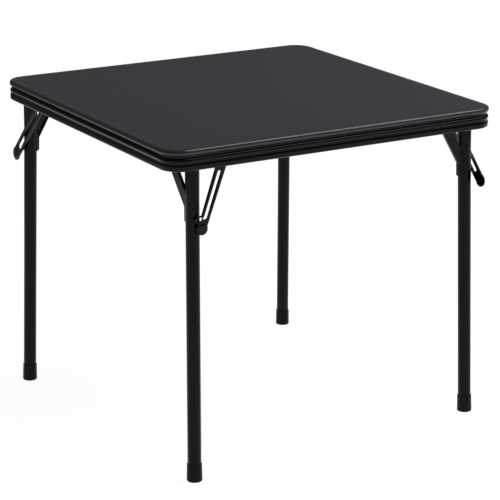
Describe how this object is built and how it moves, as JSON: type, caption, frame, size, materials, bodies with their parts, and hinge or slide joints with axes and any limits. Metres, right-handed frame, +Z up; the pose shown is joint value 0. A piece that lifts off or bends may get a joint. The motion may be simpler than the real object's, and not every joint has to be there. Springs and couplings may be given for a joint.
{
  "type": "folding card table",
  "caption": "Square folding card table with a padded vinyl top, a rolled steel rim and four tube legs that fold under it one by one.",
  "frame": {"origin": "on the floor under the middle of the square top, with the legs open", "axes": "+Z up through the top; X and Y along the top's sides, so each leg stands near a corner on a diagonal of X and Y"},
  "size_m": [0.6104, 0.6104, 0.546],
  "materials": {
    "vinyl": "dark grey embossed vinyl, satin",
    "foam": "closed pale foam sheet",
    "board": "brown pressed fibreboard",
    "black_steel": "gloss black powder coat",
    "hinge_steel": "gloss black powder coat over pressed plate",
    "plated_steel": "dull zinc plated rod",
    "screw_steel": "black oxide pan head screws",
    "cap_plastic": "black moulded vinyl, satin"
  },
  "bodies": {
    "root": {"top_cover": "vinyl", "foam_pad": "foam", "top_board": "board", "top_frame": "black_steel", "panel_screws": "screw_steel", "bracket_screws": "screw_steel", "front_hinge_bracket": "hinge_steel", "front_hinge_rod": "plated_steel", "front_link_rivet": "plated_steel", "right_hinge_bracket": "hinge_steel", "right_hinge_rod": "plated_steel", "right_link_rivet": "plated_steel", "back_hinge_bracket": "hinge_steel", "back_hinge_rod": "plated_steel", "back_link_rivet": "plated_steel", "left_hinge_bracket": "hinge_steel", "left_hinge_rod": "plated_steel", "left_link_rivet": "plated_steel"},
    "front_leg": {"front_leg_tube": "black_steel", "front_foot_cap": "cap_plastic", "front_side_brace": "hinge_steel", "front_lock_rivet": "hinge_steel"},
    "front_link": {"front_lock_link": "hinge_steel"},
    "right_leg": {"right_leg_tube": "black_steel", "right_foot_cap": "cap_plastic", "right_side_brace": "hinge_steel", "right_lock_rivet": "hinge_steel"},
    "right_link": {"right_lock_link": "hinge_steel"},
    "back_leg": {"back_leg_tube": "black_steel", "back_foot_cap": "cap_plastic", "back_side_brace": "hinge_steel", "back_lock_rivet": "hinge_steel"},
    "back_link": {"back_lock_link": "hinge_steel"},
    "left_leg": {"left_leg_tube": "black_steel", "left_foot_cap": "cap_plastic", "left_side_brace": "hinge_steel", "left_lock_rivet": "hinge_steel"},
    "left_link": {"left_lock_link": "hinge_steel"}
  },
  "joints": [
    {"name": "front_leg_fold", "type": "hinge", "parent": "root", "child": "front_leg", "pos_m": [-0.2516, -0.278, 0.5214], "axis": [0, -0.9996, 0.0279], "range_deg": [0, 90.8]},
    {"name": "front_link_swing", "type": "hinge", "parent": "root", "child": "front_link", "pos_m": [-0.2066, -0.278, 0.5214], "axis": [0, -0.9996, 0.0279], "range_deg": [0, 110.3]},
    {"name": "right_leg_fold", "type": "hinge", "parent": "root", "child": "right_leg", "pos_m": [0.278, -0.2516, 0.5214], "axis": [0.9996, 0, 0.0279], "range_deg": [0, 90.8]},
    {"name": "right_link_swing", "type": "hinge", "parent": "root", "child": "right_link", "pos_m": [0.278, -0.1716, 0.5214], "axis": [0.9996, 0, 0.0279], "range_deg": [0, 134]},
    {"name": "back_leg_fold", "type": "hinge", "parent": "root", "child": "back_leg", "pos_m": [0.2516, 0.278, 0.5214], "axis": [0, 0.9996, 0.0279], "range_deg": [0, 90.8]},
    {"name": "back_link_swing", "type": "hinge", "parent": "root", "child": "back_link", "pos_m": [0.2066, 0.278, 0.5214], "axis": [0, 0.9996, 0.0279], "range_deg": [0, 110.3]},
    {"name": "left_leg_fold", "type": "hinge", "parent": "root", "child": "left_leg", "pos_m": [-0.278, 0.2516, 0.5214], "axis": [-0.9996, 0, 0.0279], "range_deg": [0, 90.8]},
    {"name": "left_link_swing", "type": "hinge", "parent": "root", "child": "left_link", "pos_m": [-0.278, 0.1716, 0.5214], "axis": [-0.9996, 0, 0.0279], "range_deg": [0, 134]}
  ],
  "couplings": [
    {"joint": "front_link_swing", "follows": "front_leg_fold", "ratio": 1.2147},
    {"joint": "right_link_swing", "follows": "right_leg_fold", "ratio": 1.4757},
    {"joint": "back_link_swing", "follows": "back_leg_fold", "ratio": 1.2147},
    {"joint": "left_link_swing", "follows": "left_leg_fold", "ratio": 1.4757}
  ]
}
